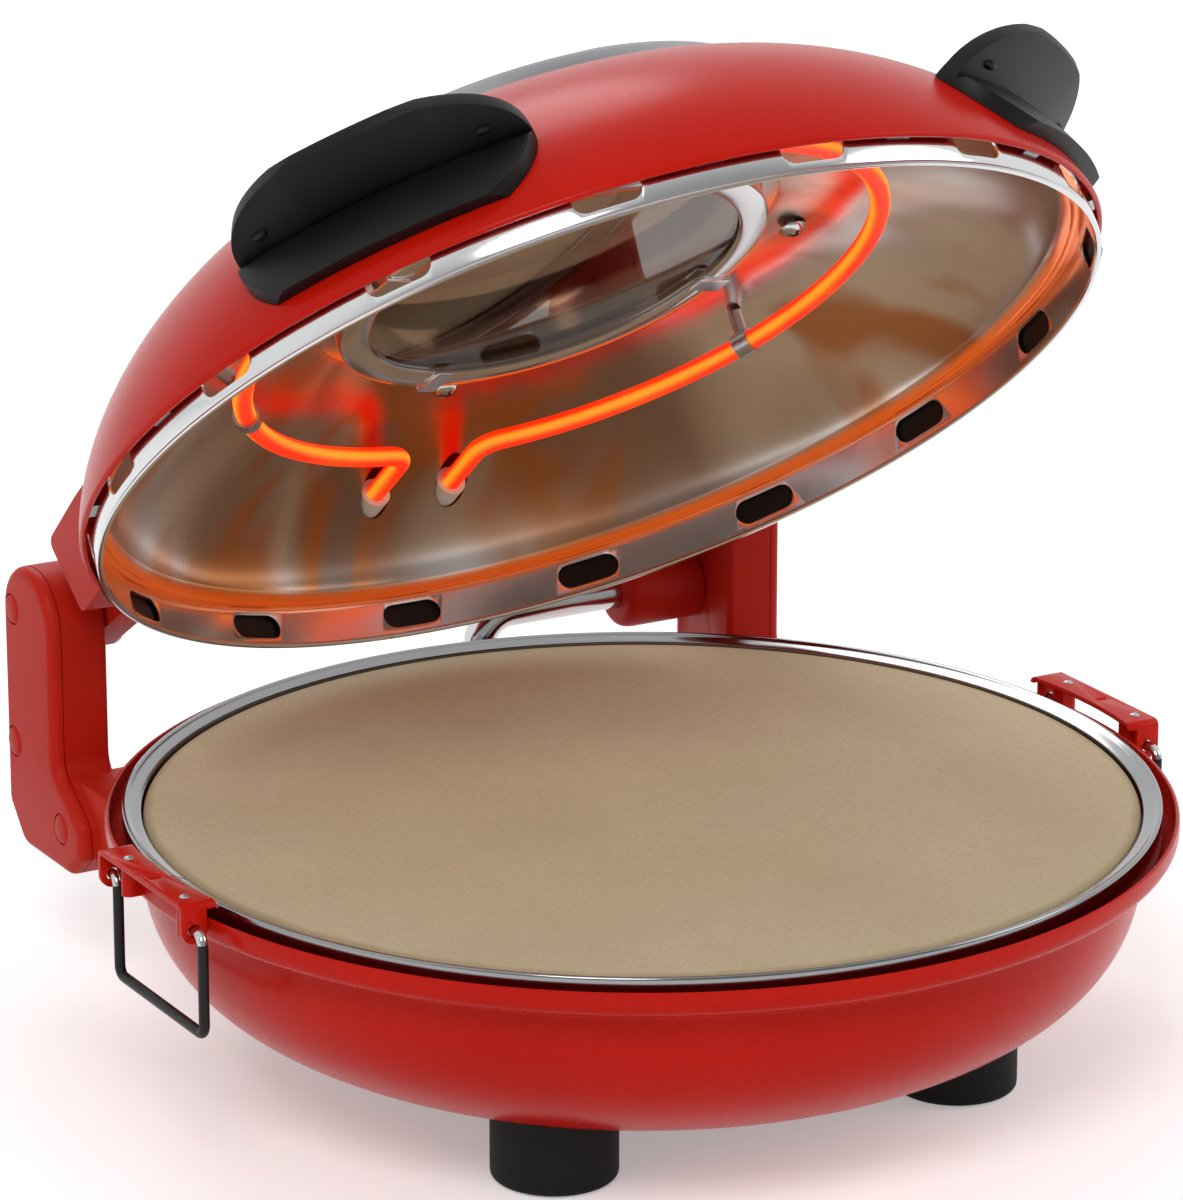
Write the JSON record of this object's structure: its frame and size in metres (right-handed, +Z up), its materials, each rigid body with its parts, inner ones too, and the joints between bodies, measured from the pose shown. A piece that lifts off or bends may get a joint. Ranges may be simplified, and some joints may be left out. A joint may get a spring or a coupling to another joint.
{
  "type": "electric_pizza_maker",
  "caption": "Round countertop pizza oven: a domed lid with a window hinges over a baking stone, with ring heating elements above and below, front handles, side bails and a rear thermostat knob.",
  "frame": {"origin": "on the table, under the middle of the oven's outline with its lid open; the bowl's axis stands 13.85 mm in front of it", "axes": "+Z up, -Y the front where the lid opens, +Y the back with the hinge and the knob, +X the oven's right seen from the front"},
  "size_m": [0.3462, 0.3603, 0.3286],
  "materials": {
    "red_paint": "satin enamel on sheet steel",
    "red_plastic": "moulded, satin",
    "chrome": "polished",
    "steel": "plain",
    "reflector": "polished sheet",
    "stone": "fired cordierite, matt",
    "rubber": "matt",
    "black_plastic": "fine moulded texture",
    "black_wire": "satin black, bare bright ends",
    "element": "glowing sheath",
    "ceramic": "matt white",
    "pale_plastic": "plain",
    "lamp": "clear amber",
    "glass": "clear"
  },
  "bodies": {
    "base": {"base_bowl": "red_paint", "base_pan": "reflector", "pizza_stone": "stone", "rim_ring": "chrome", "lower_element": "element", "lower_element_clips": "steel", "lead_bushings": "ceramic", "feet": "rubber", "foot_screws": "steel", "bracket_left": "red_paint", "bracket_right": "red_paint", "bracket_rivets": "steel", "arm_housing_left": "red_plastic", "arm_housing_right": "red_plastic", "arm_cover_left": "red_plastic", "arm_cover_right": "red_plastic", "arm_caps": "red_plastic", "hinge_bolt_left": "steel", "hinge_bolt_right": "steel", "wiring_conduit": "chrome", "conduit_collar": "red_plastic", "control_box": "red_plastic", "thermostat": "pale_plastic", "terminal_block": "pale_plastic", "pilot_lamp": "lamp", "cord_gland": "rubber"},
    "lid": {"lid_shell": "red_paint", "lid_band": "chrome", "lid_spacers": "steel", "lid_reflector": "reflector", "window_bezel": "chrome", "window_glass_top": "glass", "window_sleeve": "steel", "window_retainer": "chrome", "window_glass_inner": "glass", "upper_element": "element", "upper_element_clips": "steel", "upper_bushings": "ceramic", "lid_screws": "steel", "handle_left": "black_plastic", "handle_right": "black_plastic", "handle_screws": "steel", "lid_arm_left": "red_plastic", "lid_arm_right": "red_plastic"},
    "bail_left": {"bail_left": "black_wire"},
    "bail_right": {"bail_right": "black_wire"},
    "knob": {"thermostat_knob": "black_plastic"}
  },
  "joints": [
    {"name": "lid_hinge", "type": "hinge", "parent": "base", "child": "lid", "pos_m": [0, 0.15215, 0.112], "axis": [-1, 0, 0], "range_deg": [-40, 30]},
    {"name": "bail_left_hinge", "type": "hinge", "parent": "base", "child": "bail_left", "pos_m": [-0.169, -0.01385, 0.0822], "axis": [0, 1, 0], "range_deg": [-24, 130]},
    {"name": "bail_right_hinge", "type": "hinge", "parent": "base", "child": "bail_right", "pos_m": [0.169, -0.01385, 0.0822], "axis": [0, -1, 0], "range_deg": [-24, 130]},
    {"name": "knob_turn", "type": "hinge", "parent": "base", "child": "knob", "pos_m": [0.024, 0.16415, 0.0535], "axis": [0, -1, 0], "range_deg": [0, 270]}
  ]
}
